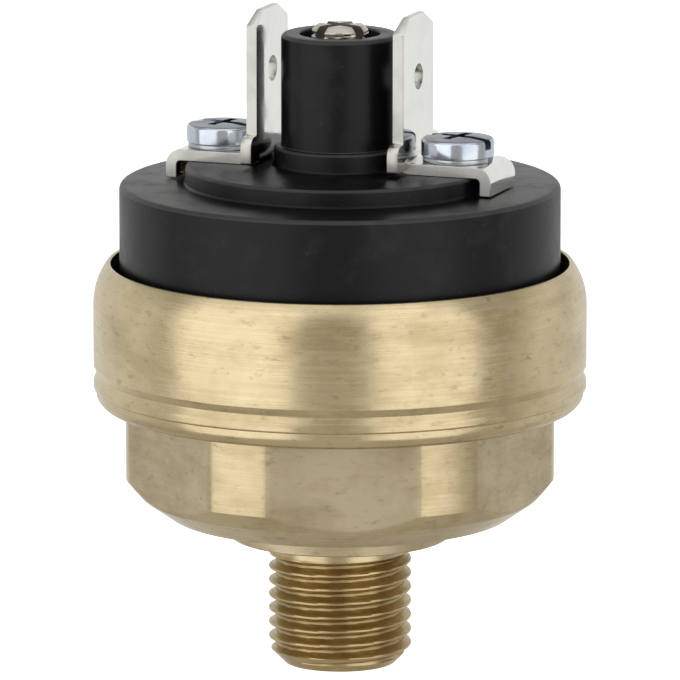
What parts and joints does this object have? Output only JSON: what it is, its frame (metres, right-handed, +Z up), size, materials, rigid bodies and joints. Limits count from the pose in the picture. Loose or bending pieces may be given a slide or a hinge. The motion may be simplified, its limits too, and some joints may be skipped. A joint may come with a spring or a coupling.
{
  "type": "pressure switch",
  "caption": "Round brass pressure switch with a threaded port, hexagon and grooved ring, black cover with a central adjusting post and screw, and upright tab terminals with clamp screws.",
  "frame": {"origin": "centre of the port's sealing shoulder, on the thread's axis", "axes": "+Z up along the port's axis towards the terminals, +X towards the right terminal, +Y away from the front"},
  "size_m": [0.0344, 0.0344, 0.0463],
  "materials": {
    "brass": "turned, satin, unlacquered",
    "zinc": "blue zinc plated, bright",
    "tin": "tinned, bright",
    "spring_steel": "satin",
    "silver": "polished",
    "black_moulding": "moulded, slightly glossy",
    "natural_moulding": "moulded",
    "rubber": "moulded"
  },
  "bodies": {
    "housing": {"brass_body": "brass", "diaphragm": "rubber", "guide_ring": "brass", "threaded_insert": "brass", "terminal_cover": "black_moulding", "cover_seal": "rubber", "terminal_left": "tin", "terminal_right": "tin", "contact_bush_left": "brass", "contact_bush_right": "brass", "contact_tip_left": "silver", "contact_tip_right": "silver"},
    "plunger": {"pressure_plate": "brass", "contact_carrier": "natural_moulding", "retaining_ring": "spring_steel", "main_spring": "spring_steel"},
    "moving_contact": {"contact_disc": "silver", "contact_spring": "spring_steel"},
    "setpoint_seat": {"spring_seat": "zinc"},
    "setpoint_screw": {"adjusting_screw": "zinc"},
    "washer_left": {"lock_washer_left": "spring_steel"},
    "washer_right": {"lock_washer_right": "spring_steel"},
    "clamp_screw_left": {"terminal_screw_left": "zinc"},
    "clamp_screw_right": {"terminal_screw_right": "zinc"}
  },
  "joints": [
    {"name": "plunger_travel", "type": "slide", "parent": "housing", "child": "plunger", "axis": [0, 0, 1], "range_m": [0, 0.0006], "stiffness_N_per_m": 4000, "springref_m": -0.0001, "deforming": ["main_spring", "diaphragm"]},
    {"name": "disc_overtravel", "type": "slide", "parent": "plunger", "child": "moving_contact", "axis": [0, 0, 1], "range_m": [-0.0003, 0], "stiffness_N_per_m": 140, "springref_m": 0.0003, "deforming": ["contact_spring"]},
    {"name": "setpoint_travel", "type": "slide", "parent": "housing", "child": "setpoint_seat", "axis": [0, 0, 1], "range_m": [-0.0028, 0.0007]},
    {"name": "setpoint_turn", "type": "hinge", "parent": "setpoint_seat", "child": "setpoint_screw", "pos_m": [0, 0, 0.034], "axis": [0, 0, 1], "range_deg": [-1440, 360]},
    {"name": "clamp_left_lift", "type": "slide", "parent": "housing", "child": "washer_left", "axis": [0, 0, 1], "range_m": [0, 0.002]},
    {"name": "clamp_left_turn", "type": "hinge", "parent": "washer_left", "child": "clamp_screw_left", "pos_m": [-0.0087, 0, 0.0275], "axis": [0, 0, 1], "range_deg": [0, 1440]},
    {"name": "clamp_right_lift", "type": "slide", "parent": "housing", "child": "washer_right", "axis": [0, 0, 1], "range_m": [0, 0.002]},
    {"name": "clamp_right_turn", "type": "hinge", "parent": "washer_right", "child": "clamp_screw_right", "pos_m": [0.0087, 0, 0.0275], "axis": [0, 0, 1], "range_deg": [0, 1440]}
  ],
  "couplings": [
    {"joint": "setpoint_turn", "follows": "setpoint_travel", "rad_per_m": 8976},
    {"joint": "clamp_left_turn", "follows": "clamp_left_lift", "rad_per_m": 12566},
    {"joint": "clamp_right_turn", "follows": "clamp_right_lift", "rad_per_m": 12566}
  ]
}
